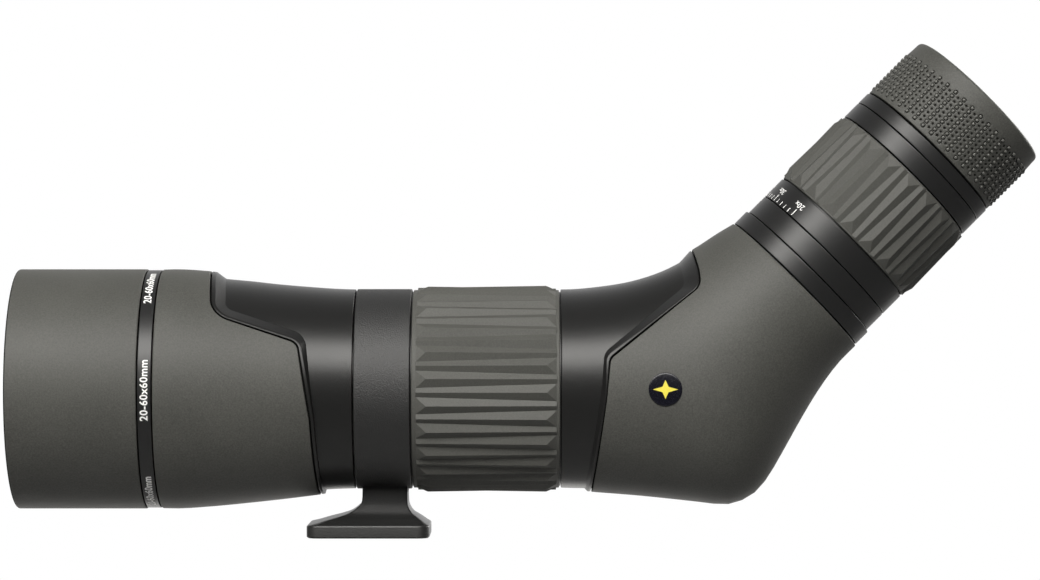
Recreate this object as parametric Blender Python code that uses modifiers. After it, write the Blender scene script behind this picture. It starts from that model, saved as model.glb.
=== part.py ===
"""Angled spotting scope, built from separate turned, lofted and machined pieces.

The origin is the mouth of the tripod screw socket, in the middle of the foot's flat underside.
+X runs along the objective tube towards the eyepiece end, +Z is up, and Y is across the scope.
Sizes below are in millimetres; MM turns them into Blender's metres.
"""

import math

import bmesh
import bpy
from mathutils import Matrix, Vector

MM = 0.001
GAP = 0.3  # clearance left between pieces that touch

# --- Driving dimensions -------------------------------------------------------------------
AXIS_Z = 46.6  # optical axis of the objective tube above the foot
FOLD_X = 101.85  # where the eyepiece axis meets the objective axis
FOLD_ANGLE = 45.0  # degrees between the two axes

TUBE_R = 38.0  # hood, and the front of the armour
HOOD_FRONT, HOOD_REAR = -111.3, -70.4
ARMOUR_FRONT = -65.4
BARREL_STEP = -4.3  # the barrel narrows here for the tripod collar and the focus ring
NECK_R = 27.7  # barrel under the collar and the focus ring
BARREL_R = 31.6  # visible barrel beside the collar
COLLAR_X = (-3.8, 13.6)
FOCUS_X = (14.1, 60.2)
HOUSING_FRONT = 60.7
ARMOUR_STEP = 1.7  # height of the armour over the metal that it covers
EYEPIECE_R = 26.35
NECK_RING_R = 27.1
TUBE_EYE_R = 22.9  # fixed tube inside the eyepiece
EYEPIECE_NECK = 47.0  # end of the prism housing, from the fold point
ZOOM_ANGLES = (-52.0, 52.0)
ZOOM_FRONT_RATE, ZOOM_REAR_RATE = 4.2, -3.1  # lens travel, millimetres a radian

SEGMENTS = 36  # round the outer pieces
INSIDE = 24  # round pieces that only show in a section
SMALL_SEGMENTS = 20  # round screws, pins and the knob

# Side outlines of the prism housing, and of the armour over it: (x, z) from the tube to the eyepiece
HOUSING_TOP = [
    (60.7, 78.2), (73.2, 79.1), (82.8, 80.7), (89.1, 82.5), (95.5, 85.1), (98.5, 86.7), (107.0, 91.8),
    (117.3, 98.0),
]
HOUSING_BOTTOM = [
    (60.7, 15.2), (72.0, 14.9), (90.0, 14.1), (106.0, 12.5), (113.0, 12.1), (119.7, 14.8),
    (124.7, 20.5), (130.0, 29.2), (137.0, 41.0), (145.0, 52.8), (153.2, 62.2),
]
ARMOUR_TOP = [
    (60.7, 79.9), (73.2, 80.9), (82.8, 82.5), (91.8, 85.5), (102.5, 90.8), (111.4, 96.5), (115.9, 99.2),
]
ARMOUR_BOTTOM = [
    (60.7, 14.6), (70.9, 13.8), (89.1, 12.3), (105.0, 10.6), (111.4, 9.9), (114.6, 10.0), (117.7, 10.9),
    (120.9, 12.5), (124.1, 15.3), (127.3, 19.8), (130.5, 25.3), (136.8, 36.6), (143.2, 47.1), (149.5, 55.4),
    (154.6, 60.5),
]
# Half widths at angles round the bend: (degrees, mm)
HOUSING_HALF_WIDTH = [(0, 31.4), (14, 31.9), (26, 31.3), (36, 28.6), (45, 25.4)]

# Edges where the rubber armour stops, seen from the side: (x, z)
FRONT_EDGE = [
    (-50.6, 90.0), (-50.5, 84.1), (-49.2, 77.4), (-48.7, 74.8), (-47.6, 72.2), (-44.6, 69.5),
    (-24.4, 62.6), (-22.1, 61.3), (-21.0, 59.4), (-17.5, 37.8), (-15.5, 13.0), (-15.4, 5.0),
]
REAR_EDGE = [
    (101.8, 96.0), (102.6, 90.8), (104.0, 82.6), (103.6, 79.6), (102.0, 77.4),
    (77.6, 57.9), (76.1, 56.3), (75.6, 54.6), (74.9, 43.9), (70.9, 14.0), (69.6, 5.0),
]

# Foot and pedestal sections from the bottom up: (z, x from, x to, half depth, corner radius)
FOOT_SECTIONS = [
    (0.0, -18.9, 18.9, 15.4, 3.6),
    (0.45, -19.35, 19.35, 15.8, 4.0),
    (3.6, -19.35, 19.35, 15.8, 4.0),
    (4.18, -18.1, 18.75, 15.22, 3.4),
    (5.66, -12.7, 16.6, 12.6, 1.4),
    (6.55, -9.4, 15.3, 10.9, 0.9),
    (7.65, -6.1, 13.8, 9.6, 0.7),
    (9.45, -3.5, 12.7, 8.9, 0.6),
    (11.45, -2.1, 12.3, 8.6, 0.6),
    (17.2, -1.95, 12.25, 8.5, 0.6),
]

# --- Materials: name -> (colour, roughness, metallic) ------------------------------------------
LOOKS = {
    "olive_rubber": ((0.105, 0.105, 0.092), 0.62, 0.0),
    "black_paint": ((0.022, 0.022, 0.023), 0.42, 0.0),
    "black_anodised": ((0.02, 0.02, 0.021), 0.32, 0.6),
    "coated_glass": ((0.75, 0.85, 0.8), 0.02, 0.0),
    "brass": ((0.70, 0.52, 0.22), 0.32, 1.0),
    "steel": ((0.62, 0.62, 0.62), 0.28, 1.0),
    "nylon": ((0.75, 0.73, 0.66), 0.5, 0.0),
    "seal_rubber": ((0.015, 0.015, 0.015), 0.7, 0.0),
    "badge_enamel": ((0.03, 0.03, 0.035), 0.25, 0.2),
}


def clear_scene():
    for obj in list(bpy.data.objects):
        bpy.data.objects.remove(obj, do_unlink=True)


def new_collection(name):
    made = bpy.data.collections.new(name)
    bpy.context.scene.collection.children.link(made)
    return made


clear_scene()
PARTS = new_collection("spotting_scope")
CUTTERS = new_collection("cutters")
MATERIALS = {}


def material(name):
    if name not in MATERIALS:
        colour, roughness, metallic = LOOKS[name]
        made = bpy.data.materials.new(name)
        made.use_nodes = True
        shader = made.node_tree.nodes["Principled BSDF"]
        shader.inputs["Base Color"].default_value = (*colour, 1.0)
        shader.inputs["Roughness"].default_value = roughness
        shader.inputs["Metallic"].default_value = metallic
        MATERIALS[name] = made
    return MATERIALS[name]


def empty(name, location, rotation=(0, 0, 0)):
    """A frame that pieces are parented to: its local Z is a turning axis."""
    made = bpy.data.objects.new(name, None)
    made.location = Vector(location) * MM
    made.rotation_euler = rotation
    PARTS.objects.link(made)
    return made


OPTICAL = empty("objective_axis", (0, 0, AXIS_Z), (0, math.radians(90), 0))
EYEPIECE = empty("eyepiece_axis", (FOLD_X, 0, AXIS_Z), (0, math.radians(FOLD_ANGLE), 0))


def add_object(name, mesh, look, parent=None):
    """One part: a mesh in its parent's frame, with its material."""
    obj = bpy.data.objects.new(name, mesh)
    PARTS.objects.link(obj)
    obj.parent = parent
    if look:
        mesh.materials.append(material(look))
    return obj


def as_cutter(obj):
    """Marks a helper: it shapes another piece, and isn't a part."""
    PARTS.objects.unlink(obj)
    CUTTERS.objects.link(obj)
    obj.hide_render = True
    obj.display_type = "WIRE"
    return obj


def boolean(obj, other, operation="DIFFERENCE"):
    step = obj.modifiers.new(operation.lower(), "BOOLEAN")
    step.operation = operation
    step.object = other
    return obj


def signed_area(points):
    pairs = zip(points, points[1:] + points[:1])
    return sum(a[0] * b[1] - b[0] * a[1] for a, b in pairs) / 2


def turned(name, profile, look, parent, segments=SEGMENTS, open_ends=False):
    """Turns a profile of (station, radius) points about the parent's Z axis.

    A closed profile makes a ring. With open_ends the profile starts and ends on the axis.
    """
    points = [(radius, station) for station, radius in profile]
    outwards = points if open_ends else points[::-1] if signed_area(points) > 0 else points
    if open_ends and points[0][1] < points[-1][1]:
        outwards = points[::-1]
    mesh = bpy.data.meshes.new(name)
    count = len(outwards)
    edges = [(i, i + 1) for i in range(count - 1)]
    if not open_ends:
        edges.append((count - 1, 0))
    mesh.from_pydata([(r * MM, 0, z * MM) for r, z in outwards], edges, [])
    obj = add_object(name, mesh, look, parent)
    screw = obj.modifiers.new("turn", "SCREW")
    screw.steps = segments
    screw.render_steps = segments
    screw.use_merge_vertices = True
    screw.merge_threshold = 0.00001
    screw.use_smooth_shade = True
    return obj


def tube(name, start, end, inner, outer, look, parent, segments=SEGMENTS):
    profile = [(start, inner), (start, outer), (end, outer), (end, inner)]
    return turned(name, profile, look, parent, segments)


def lens(name, stations, radius, bulges, parent, segments=SEGMENTS, rings=3):
    """A round lens. stations are its two edge positions; bulges are how far each face stands out of them."""
    low, high = stations
    face = [i / rings for i in range(rings + 1)]
    front = [(low - bulges[0] * (1 - f * f), radius * f) for f in face]
    back = [(high + bulges[1] * (1 - f * f), radius * f) for f in reversed(face)]
    return turned(name, front + back, "coated_glass", parent, segments, open_ends=True)


def seal(name, station, radius, thickness, parent, segments=SEGMENTS):
    """An O-ring: a five-sided bead turned about the axis."""
    corners = [math.radians(90 + 72 * i) for i in range(5)]
    profile = [(station + thickness * math.cos(a), radius + thickness * math.sin(a)) for a in corners]
    return turned(name, profile, "seal_rubber", parent, segments)


def bmesh_object(name, build, look, parent=None):
    """Runs build on an empty bmesh and makes one part of the result."""
    bm = bmesh.new()
    build(bm)
    bmesh.ops.recalc_face_normals(bm, faces=bm.faces)
    mesh = bpy.data.meshes.new(name)
    bm.to_mesh(mesh)
    bm.free()
    return add_object(name, mesh, look, parent)


def box(name, low, high, look, parent=None):
    """A rectangular block from its lowest to its highest corner."""
    low, high = Vector(low), Vector(high)

    def build(bm):
        size = Matrix.Diagonal([*(high - low) * MM, 1])
        bmesh.ops.create_cube(bm, size=1, matrix=Matrix.Translation((low + high) / 2 * MM) @ size)

    return bmesh_object(name, build, look, parent)


def rod(name, start, end, radius, look, parent=None, segments=SMALL_SEGMENTS):
    """A plain round rod between two points."""
    start, end = Vector(start), Vector(end)
    along = end - start

    def build(bm):
        turn = along.to_track_quat("Z", "Y").to_matrix().to_4x4()
        place = Matrix.Translation((start + end) / 2 * MM) @ turn
        bmesh.ops.create_cone(
            bm, cap_ends=True, segments=segments, radius1=radius * MM, radius2=radius * MM,
            depth=along.length * MM, matrix=place,
        )

    return bmesh_object(name, build, look, parent)


def plate(name, outline, half_thickness, look=None):
    """A flat outline in the XZ plane, extruded both ways along Y, as a mesh."""
    curve = bpy.data.curves.new(name, "CURVE")
    curve.dimensions = "2D"
    curve.fill_mode = "BOTH"
    curve.extrude = half_thickness * MM
    spline = curve.splines.new("POLY")
    spline.points.add(len(outline) - 1)
    for point, (x, z) in zip(spline.points, outline):
        point.co = (x * MM, z * MM, 0, 1)
    spline.use_cyclic_u = True
    guide = bpy.data.objects.new(name + "_outline", curve)
    PARTS.objects.link(guide)
    guide.rotation_euler = (math.radians(90), 0, 0)
    return mesh_of_curve(name, guide, look)


def mesh_of_curve(name, guide, look):
    """Replaces a curve object with a closed mesh, so that Booleans can use it."""
    bpy.context.view_layer.update()
    evaluated = guide.evaluated_get(bpy.context.evaluated_depsgraph_get())
    mesh = bpy.data.meshes.new_from_object(evaluated)
    mesh.materials.clear()
    world = guide.matrix_world.copy()
    bpy.data.objects.remove(guide, do_unlink=True)
    bm = bmesh.new()
    bm.from_mesh(mesh)
    bmesh.ops.remove_doubles(bm, verts=bm.verts, dist=1e-6)
    bmesh.ops.recalc_face_normals(bm, faces=bm.faces)
    bm.to_mesh(mesh)
    bm.free()
    obj = add_object(name, mesh, look)
    obj.matrix_world = world
    return obj


def loft(bm, sections):
    """Skins equal-length rings of points into a closed solid with flat ends."""
    rings = [[bm.verts.new(Vector(p) * MM) for p in ring] for ring in sections]
    for first, second in zip(rings, rings[1:]):
        for i, vert in enumerate(first):
            j = (i + 1) % len(first)
            bm.faces.new((vert, first[j], second[j], second[i]))
    bm.faces.new(rings[0])
    bm.faces.new(rings[-1])


def smooth_outline(points, steps=6):
    """Catmull-Rom curve through the points."""
    ends = [points[0], *points, points[-1]]
    found = []
    for a, b, c, d in zip(ends, ends[1:], ends[2:], ends[3:]):
        for i in range(steps):
            t = i / steps
            found.append(tuple(
                0.5 * (
                    2 * q + (r - p) * t + (2 * p - 5 * q + 4 * r - s) * t**2
                    + (3 * q - p - 3 * r + s) * t**3)
                for p, q, r, s in zip(a, b, c, d)
            ))
    return found + [points[-1]]


def read_curve(pairs, at):
    """Straight-line reading of (position, value) pairs."""
    for (a, low), (b, high) in zip(pairs, pairs[1:]):
        if at <= b:
            return low + (high - low) * (at - a) / (b - a)
    return pairs[-1][1]


# --- Prism housing: sections turn about one line, from upright to square on the eyepiece axis ----
PIVOT = (60.6, 154.3)


def round_the_bend(outline):
    """The outline as (degrees, distance) about the pivot."""
    pairs = []
    for x, z in smooth_outline(outline):
        across, down = x - PIVOT[0], PIVOT[1] - z
        pairs.append((math.degrees(math.atan2(across, down)), math.hypot(across, down)))
    return pairs


def bent_sections(top, bottom, angles, grow=0.0, around=28):
    """Rings of a bent tube between two side outlines, grown outwards by grow."""
    near, far = round_the_bend(top), round_the_bend(bottom)
    widths = smooth_outline(HOUSING_HALF_WIDTH)
    rings = []
    for angle in angles:
        low, high = read_curve(near, angle) - grow, read_curve(far, angle) + grow
        half = read_curve(widths, angle) + grow
        middle, reach = (low + high) / 2, (high - low) / 2
        tilt = math.radians(angle)
        ring = []
        for i in range(around):
            turn = 2 * math.pi * i / around
            out = middle - reach * math.cos(turn)
            x, z = PIVOT[0] + out * math.sin(tilt), PIVOT[1] - out * math.cos(tilt)
            ring.append((x, half * math.sin(turn), z))
        rings.append(ring)
    return rings


def bend_angles(first, last, count):
    return [first + (last - first) * i / (count - 1) for i in range(count)]


def bent_solid(name, sections, look):
    return bmesh_object(name, lambda bm: loft(bm, sections), look)


# --- Objective end -----------------------------------------------------------------------------
def make_hood():
    inner, lip = TUBE_R - 2.4, 34.7
    return turned("sun_hood", [
        (HOOD_FRONT + 0.6, inner), (HOOD_FRONT, inner + 0.6), (HOOD_FRONT, TUBE_R - 0.6),
        (HOOD_FRONT + 0.6, TUBE_R), (HOOD_REAR, TUBE_R), (HOOD_REAR, lip), (HOOD_REAR - 2, lip),
        (HOOD_REAR - 2, inner),
    ], "olive_rubber", OPTICAL)


def make_objective():
    """Front tube with the lens cell, its two lenses and the rings that hold them."""
    turned("objective_tube", [
        (-106.0, 32.2), (-106.0, 34.3), (-65.6, 34.3), (-65.6, 33.3), (-63.6, 33.3), (-63.6, 32.3),
        (-61.8, 32.3), (-61.8, 33.3), (-52.0, 33.3), (-52.0, 30.6), (-84.2, 30.6), (-84.2, 32.2),
    ], "black_anodised", OPTICAL, INSIDE)
    seal("objective_seal", -62.7, 32.95, 0.4, OPTICAL, INSIDE)
    tube("hood_friction_band", -104.8, -102.2, 34.6, 35.2, "seal_rubber", OPTICAL, INSIDE)
    tube("name_ring", -70.0, -65.8, 34.6, 37.7, "black_anodised", OPTICAL)
    turned("objective_cell", [
        (-104.6, 31.2), (-104.6, 31.9), (-84.5, 31.9), (-84.5, 29.7), (-89.3, 29.7), (-89.3, 31.2),
    ], "black_anodised", OPTICAL, INSIDE)
    tube("objective_retainer", -102.6, -99.0, 29.6, 30.9, "black_anodised", OPTICAL, INSIDE)
    lens("objective_crown_lens", (-98.4, -95.5), 30.9, (4.4, 3.4), OPTICAL, INSIDE)
    tube("objective_spacer", -95.2, -94.0, 30.0, 30.9, "black_anodised", OPTICAL, INSIDE)
    lens("objective_flint_lens", (-93.7, -89.6), 30.9, (-3.5, 0.8), OPTICAL, INSIDE)


BARREL_SIDE = [
    (-65.1, 36.1), (-50.6, 35.5), (-44.7, 34.85), (-38.0, 34.25), (-28.5, 33.2), (-19.0, 32.4), (-9.4, 31.75),
]


def make_barrel():
    """Main barrel: tapered under the armour, then a straight neck for the collar and the focus ring."""
    seats = [(15.5, 17.3), (57.0, 58.8)]  # O-ring grooves under the focus ring
    profile = [(-65.1, 33.6), *BARREL_SIDE, (BARREL_STEP, BARREL_R), (BARREL_STEP, NECK_R)]
    for start, end in seats:
        profile += [(start, NECK_R), (start, NECK_R - 1.1), (end, NECK_R - 1.1), (end, NECK_R)]
    profile += [
        (HOUSING_FRONT - 0.3, NECK_R), (HOUSING_FRONT - 0.3, NECK_R - 0.8), (69.8, NECK_R - 0.8),
        (69.8, 25.6),
        (BARREL_STEP - 2, 25.6), (-50.0, 31.4), (-50.0, 33.6),
    ]
    barrel = turned("front_barrel", profile, "black_paint", OPTICAL)
    slot = as_cutter(box("focus_slot", (28.4, -2.1, AXIS_Z + 20), (49.6, 2.1, AXIS_Z + 35), None))
    boolean(barrel, slot)
    for (start, end), side in zip(seats, ("front", "rear")):
        seal(f"focus_seal_{side}", (start + end) / 2, NECK_R - 0.42, 0.52, OPTICAL)


def make_front_armour():
    outer = [(ARMOUR_FRONT, 37.9), (-61.0, 38.0), (-50.7, 37.4), (-38.0, 36.2), (-22.0, 34.4), (-14.0, 33.4)]
    inner = [(ARMOUR_FRONT, 36.1 + GAP)] + [(x, r + GAP) for x, r in BARREL_SIDE[1:-1]]
    inner.append((-14.0, 32.1 + GAP))
    armour = turned("front_armour", outer + inner[::-1], "olive_rubber", OPTICAL)
    behind = plate("front_armour_edge", FRONT_EDGE + [(5.0, 0.0), (5.0, 95.0)], 60)
    boolean(armour, as_cutter(behind))


# --- Tripod collar, which holds the scope up --------------------------------------------------
def rounded_ring(z, x_from, x_to, half_depth, corner):
    """A rounded rectangle at height z, four points to each corner."""
    ring = []
    centres = [(x_to - corner, half_depth - corner), (x_from + corner, half_depth - corner),
               (x_from + corner, corner - half_depth), (x_to - corner, corner - half_depth)]
    for quarter, (cx, cy) in enumerate(centres):
        for i in range(4):
            a = math.radians(90 * quarter + 30 * i)
            ring.append((cx + corner * math.cos(a), cy + corner * math.sin(a), z))
    return ring


KNOB_X = sum(COLLAR_X) / 2
SOCKET_DEPTH = 6.1


def make_collar():
    collar = turned("tripod_collar", [
        (COLLAR_X[0], 29.2), (COLLAR_X[0], 31.3), (COLLAR_X[0] + 0.4, 31.7), (COLLAR_X[1] - 0.4, 31.7),
        (COLLAR_X[1], 31.3), (COLLAR_X[1], 29.2),
    ], "black_paint", OPTICAL)
    foot = bent_solid("foot_block", [rounded_ring(*s) for s in FOOT_SECTIONS], None)
    boss = rod("lock_boss", (KNOB_X, 30.2, AXIS_Z), (KNOB_X, 34.6, AXIS_Z), 6.0, None)
    for piece in (foot, boss):
        boolean(collar, as_cutter(piece), "UNION")
    socket = rod("screw_socket", (0, 0, -1), (0, 0, SOCKET_DEPTH), 4.6, None)
    stud_hole = rod("stud_hole", (KNOB_X, 26, AXIS_Z), (KNOB_X, 36, AXIS_Z), 2.9, None)
    for piece in (socket, stud_hole):
        boolean(collar, as_cutter(piece))
    tube("tripod_thread_insert", 0.15, SOCKET_DEPTH - GAP, 3.2, 4.3, "steel", None, SMALL_SEGMENTS)
    tube("collar_bush", COLLAR_X[0] + 0.3, COLLAR_X[1] - 0.3, 28.05, 28.9, "nylon", OPTICAL, INSIDE)


def make_lock_knob():
    """Clamping knob on the far side, one piece with its stud."""
    axis = empty("lock_knob_axis", (KNOB_X, 0, AXIS_Z), (math.radians(-90), 0, 0))
    turned("lock_knob", [
        (29.3, 0), (29.3, 2.4), (35.0, 2.4), (35.0, 5.6), (36.0, 7.4), (43.6, 7.4), (45.0, 6.2), (45.0, 0),
    ], "black_paint", axis, SMALL_SEGMENTS, open_ends=True)


# --- Focus ring and the lens carriage that it drives -------------------------------------------
def make_focus():
    tube("focus_ring", *FOCUS_X, NECK_R + 0.4, 29.5, "black_anodised", OPTICAL)
    start, end = FOCUS_X[0] + 0.1, FOCUS_X[1] - 0.1
    turned("focus_grip", [
        (start, 29.8), (start, 31.5), (start + 5, 32.6), (end - 4.5, 32.6), (end, 31.3), (end, 29.8),
    ], "olive_rubber", OPTICAL)
    cell = turned("focus_cell", [
        (30.0, 23.5), (30.0, 25.3), (48.0, 25.3), (48.0, 21.6), (44.0, 21.6), (44.0, 23.5),
    ], "black_anodised", OPTICAL, INSIDE)
    hole = rod("key_hole", (39, 0, AXIS_Z + 20), (39, 0, AXIS_Z + 30), 1.6, None)
    boolean(cell, as_cutter(hole))
    lens("focus_lens", (36.6, 43.7), 23.2, (-2.4, -2.2), OPTICAL, INSIDE)
    tube("focus_lens_retainer", 32.2, 36.3, 21.8, 23.2, "black_anodised", OPTICAL, INSIDE)
    key = box("focus_key", (36.0, -1.7, AXIS_Z + 25.62), (42.0, 1.7, AXIS_Z + 27.9), "brass")
    peg = rod("key_peg", (39, 0, AXIS_Z + 23.7), (39, 0, AXIS_Z + 26.6), 1.25, None)
    boolean(key, as_cutter(peg), "UNION")


# --- Prism housing, its armour and the prism inside -------------------------------------------
BEND_START, BEND_END = 0.06, 44.9
HOUSING_WALL = 2.2


def make_housing():
    outer = bent_sections(HOUSING_TOP, HOUSING_BOTTOM, bend_angles(BEND_START, BEND_END, 13))
    housing = bent_solid("prism_housing", outer, "black_paint")
    cavity = bent_sections(
        HOUSING_TOP, HOUSING_BOTTOM, bend_angles(2.4, BEND_END - 2.2, 8), -HOUSING_WALL, around=20)
    cutters = [
        bent_solid("prism_cavity", cavity, None),
        rod("barrel_bore", (55, 0, AXIS_Z), (70, 0, AXIS_Z), NECK_R - 0.5, None, segments=SEGMENTS),
        rod("eyepiece_bore", (0, 0, 38), (0, 0, 60), TUBE_EYE_R + 0.3, None, EYEPIECE, SEGMENTS),
    ]
    for cutter in cutters:
        boolean(housing, as_cutter(cutter))
    tube("housing_lock_ring", 67.2, 69.2, NECK_R - 0.45, 28.6, "black_anodised", OPTICAL, INSIDE)


BADGE_X, BADGE_Z, BADGE_R = 92.7, 47.3, 5.2


def make_rear_armour():
    angles = bend_angles(3.5, BEND_END, 12)
    outer = bent_sections(ARMOUR_TOP, ARMOUR_BOTTOM, angles, ARMOUR_STEP, around=28)
    # The side outlines already are the armour's own, so only its width grows.
    shrunk = bent_sections(ARMOUR_TOP, ARMOUR_BOTTOM, angles, 0.0, around=28)
    sections = [
        [(p[0], wide[1], p[2]) for p, wide in zip(ring, wider)] for ring, wider in zip(shrunk, outer)
    ]
    armour = bent_solid("rear_armour", sections, "olive_rubber")
    angles = bend_angles(BEND_START, BEND_END, 13) + [BEND_END + 1]
    core = bent_sections(HOUSING_TOP, HOUSING_BOTTOM, angles, GAP)
    boolean(armour, as_cutter(bent_solid("armour_core", core, None)))
    ahead = plate("rear_armour_edge", REAR_EDGE + [(50.0, 5.0), (50.0, 96.0)], 60)
    boolean(armour, as_cutter(ahead))


def make_prism():
    """Roof prism that turns the view upright and bends it towards the eyepiece."""
    f, z = FOLD_X, AXIS_Z
    side = ((-19, -14), (-19, 18), (4, 18), (22, 0), (20, -11))
    corners = [(f + dx, y, z + dz) for dx, dz in side for y in (-17, 17)]
    corners += [(f - 18, 0, z - 27), (f + 16, 0, z - 24)]

    def build(bm):
        verts = [bm.verts.new(Vector(c) * MM) for c in corners]
        bmesh.ops.convex_hull(bm, input=verts)

    bmesh_object("roof_prism", build, "coated_glass")
    for side, name in ((-1, "left"), (1, "right")):
        near, far = sorted((side * (17 + GAP), side * 18.9))
        box(f"prism_cheek_{name}", (f - 15, near, z - 12), (f + 3, far, z + 18.2), "black_anodised")
    box("prism_strap", (f - 12, -18.9, z + 18.5), (f - 2, 18.9, z + 19.7), "steel")
    for side, name in ((-1, "left"), (1, "right")):
        x, y = f - 7, side * 16.0
        rod(f"strap_screw_{name}", (x, y, z + 20.0), (x, y, z + 21.6), 2.0, "steel")


# --- Eyepiece: stations run from the fold point towards the eye ---------------------------------
def make_eyepiece_tube():
    body = tube(
        "eyepiece_tube", 42.0, 120.6, TUBE_EYE_R - 1.7, TUBE_EYE_R, "black_anodised", EYEPIECE, INSIDE)
    for name, side, station, rate in ZOOM_GROUPS:
        reach = sorted(math.radians(a) * rate for a in ZOOM_ANGLES)
        low, high = station + reach[0] - 1.4, station + reach[1] + 1.4
        near, far = sorted((side * 18.0, side * 26.0))
        slot = box(f"{name}_slot", (-1.4, near, low), (1.4, far, high), None, EYEPIECE)
        boolean(body, as_cutter(slot))
    keyway = box("eyecup_keyway", (18, -1.4, 108.6), (26, 1.4, 126.0), None, EYEPIECE)
    boolean(body, as_cutter(keyway))
    inside = TUBE_EYE_R + GAP
    tube("neck_ring", EYEPIECE_NECK + GAP, 52.55, inside, NECK_RING_R, "black_anodised", EYEPIECE)
    tube("index_ring", 52.85, 59.85, inside, EYEPIECE_R, "black_anodised", EYEPIECE)
    tube("top_ring", 95.95, 101.85, inside, EYEPIECE_R, "black_anodised", EYEPIECE)
    tube("eyecup_seat_ring", 102.15, 106.3, inside, EYEPIECE_R, "black_anodised", EYEPIECE)


ZOOM_GROUPS = [  # (name, side of its pin, station, travel rate)
    ("zoom_front", -1, 68.0, ZOOM_FRONT_RATE),
    ("zoom_rear", 1, 88.0, ZOOM_REAR_RATE),
]


def helix_cutter(name, side, station, rate):
    """The path of a zoom pin in the turning cam sleeve, as a bent round rod."""
    curve = bpy.data.curves.new(name, "CURVE")
    curve.dimensions = "3D"
    curve.bevel_depth = 1.35 * MM
    curve.bevel_resolution = 2
    curve.use_fill_caps = True
    turns = 16
    low, high = ZOOM_ANGLES[0] - 2.5, ZOOM_ANGLES[1] + 2.5
    spline = curve.splines.new("POLY")
    spline.points.add(turns)
    radius = TUBE_EYE_R + 0.8
    for i, point in enumerate(spline.points):
        angle = math.radians(low + (high - low) * i / turns)
        at = math.radians(90 * side) - angle
        point.co = (radius * math.cos(at) * MM, radius * math.sin(at) * MM, (station + rate * angle) * MM, 1)
    guide = bpy.data.objects.new(name + "_path", curve)
    PARTS.objects.link(guide)
    cutter = mesh_of_curve(name, guide, None)
    cutter.parent = EYEPIECE
    return as_cutter(cutter)


def make_zoom():
    zoom = turned("zoom_ring", [
        (60.15, 24.5), (60.15, EYEPIECE_R), (67.95, EYEPIECE_R), (67.95, 25.2), (95.5, 25.2), (95.5, 24.5),
    ], "black_anodised", EYEPIECE)
    turned("zoom_grip", [
        (68.3, 25.5), (68.3, 26.3), (72.4, 27.3), (91.8, 27.3), (95.6, 26.3), (95.6, 25.5),
    ], "olive_rubber", EYEPIECE)
    sleeve = tube("zoom_cam_sleeve", 60.4, 95.3, TUBE_EYE_R + 0.3, 24.2, "brass", EYEPIECE, INSIDE)
    for name, side, station, rate in ZOOM_GROUPS:
        boolean(sleeve, helix_cutter(f"{name}_cam", side, station, rate))
        cell = turned(f"{name}_cell", [
            (station - 5, 17.3), (station - 5, 20.9), (station + 5, 20.9), (station + 5, 15.8),
            (station + 3.6, 15.8), (station + 3.6, 17.3),
        ], "black_anodised", EYEPIECE, INSIDE)
        hole = rod(f"{name}_pin_hole", (0, side * 16, station), (0, side * 22, station), 1.3, None, EYEPIECE)
        boolean(cell, as_cutter(hole))
        lens(f"{name}_lens", (station - 2.0, station + 3.3), 17.0, (1.6, -1.5), EYEPIECE, INSIDE)
        rod(f"{name}_pin", (0, side * 18.2, station), (0, side * 24.0, station), 1.0, "steel", EYEPIECE, 12)
    return zoom


def make_eye_lenses():
    turned("eye_lens_cell", [
        (101.0, 15.2), (101.0, 20.9), (118.6, 20.9), (118.6, 17.3), (102.4, 17.3), (102.4, 15.2),
    ], "black_anodised", EYEPIECE, INSIDE)
    lens("field_lens", (102.7, 106.6), 17.0, (-1.0, 2.2), EYEPIECE, INSIDE)
    tube("eye_lens_spacer", 106.9, 111.4, 15.9, 17.0, "black_anodised", EYEPIECE, INSIDE)
    lens("eye_lens", (111.7, 116.0), 17.0, (2.4, 1.8), EYEPIECE, INSIDE)
    turned("eye_lens_bezel", [
        (118.9, 14.6), (118.9, 20.9), (120.4, 20.9), (120.4, 17.8), (119.8, 14.6),
    ], "black_anodised", EYEPIECE, INSIDE)


def make_eyecup():
    """The guide ring slides in a keyway; the cup turns on it and rises with it."""
    ring = tube("eyecup_guide_ring", 109.1, 112.3, TUBE_EYE_R + GAP, 23.9, "brass", EYEPIECE, INSIDE)
    key = box("guide_key", (21.5, -1.1, 109.4), (23.6, 1.1, 112.0), None, EYEPIECE)
    boolean(ring, as_cutter(key), "UNION")
    turned("eyecup_sleeve", [
        (106.9, 24.2), (106.9, 24.9), (127.8, 24.9), (127.8, 22.0), (126.5, 22.0), (126.5, 24.2),
    ], "black_anodised", EYEPIECE, INSIDE)
    turned("eyecup_rubber", [
        (106.9, 25.2), (106.9, 26.3), (123.6, 26.5), (124.2, 26.0), (129.0, 25.9), (129.7, 25.2),
        (129.7, 22.4), (129.0, 21.7), (128.1, 21.7), (128.1, 25.2),
    ], "olive_rubber", EYEPIECE)


def badge_pocket():
    """The medallion and the pocket that it sits in, on the near side of the rear armour."""
    armour = bpy.data.objects["rear_armour"]
    depth = 33.0
    pocket = rod(
        "badge_recess", (BADGE_X, -depth - 4, BADGE_Z), (BADGE_X, -depth + 0.35, BADGE_Z), BADGE_R + GAP, None)
    boolean(armour, as_cutter(pocket))
    rod("badge", (BADGE_X, -depth - 0.75, BADGE_Z), (BADGE_X, -depth + 0.05, BADGE_Z), BADGE_R, "badge_enamel")


def main():
    make_hood()
    make_objective()
    make_barrel()
    make_front_armour()
    make_collar()
    make_lock_knob()
    make_focus()
    make_housing()
    make_rear_armour()
    badge_pocket()
    make_prism()
    make_eyepiece_tube()
    make_zoom()
    make_eye_lenses()
    make_eyecup()


main()
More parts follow.
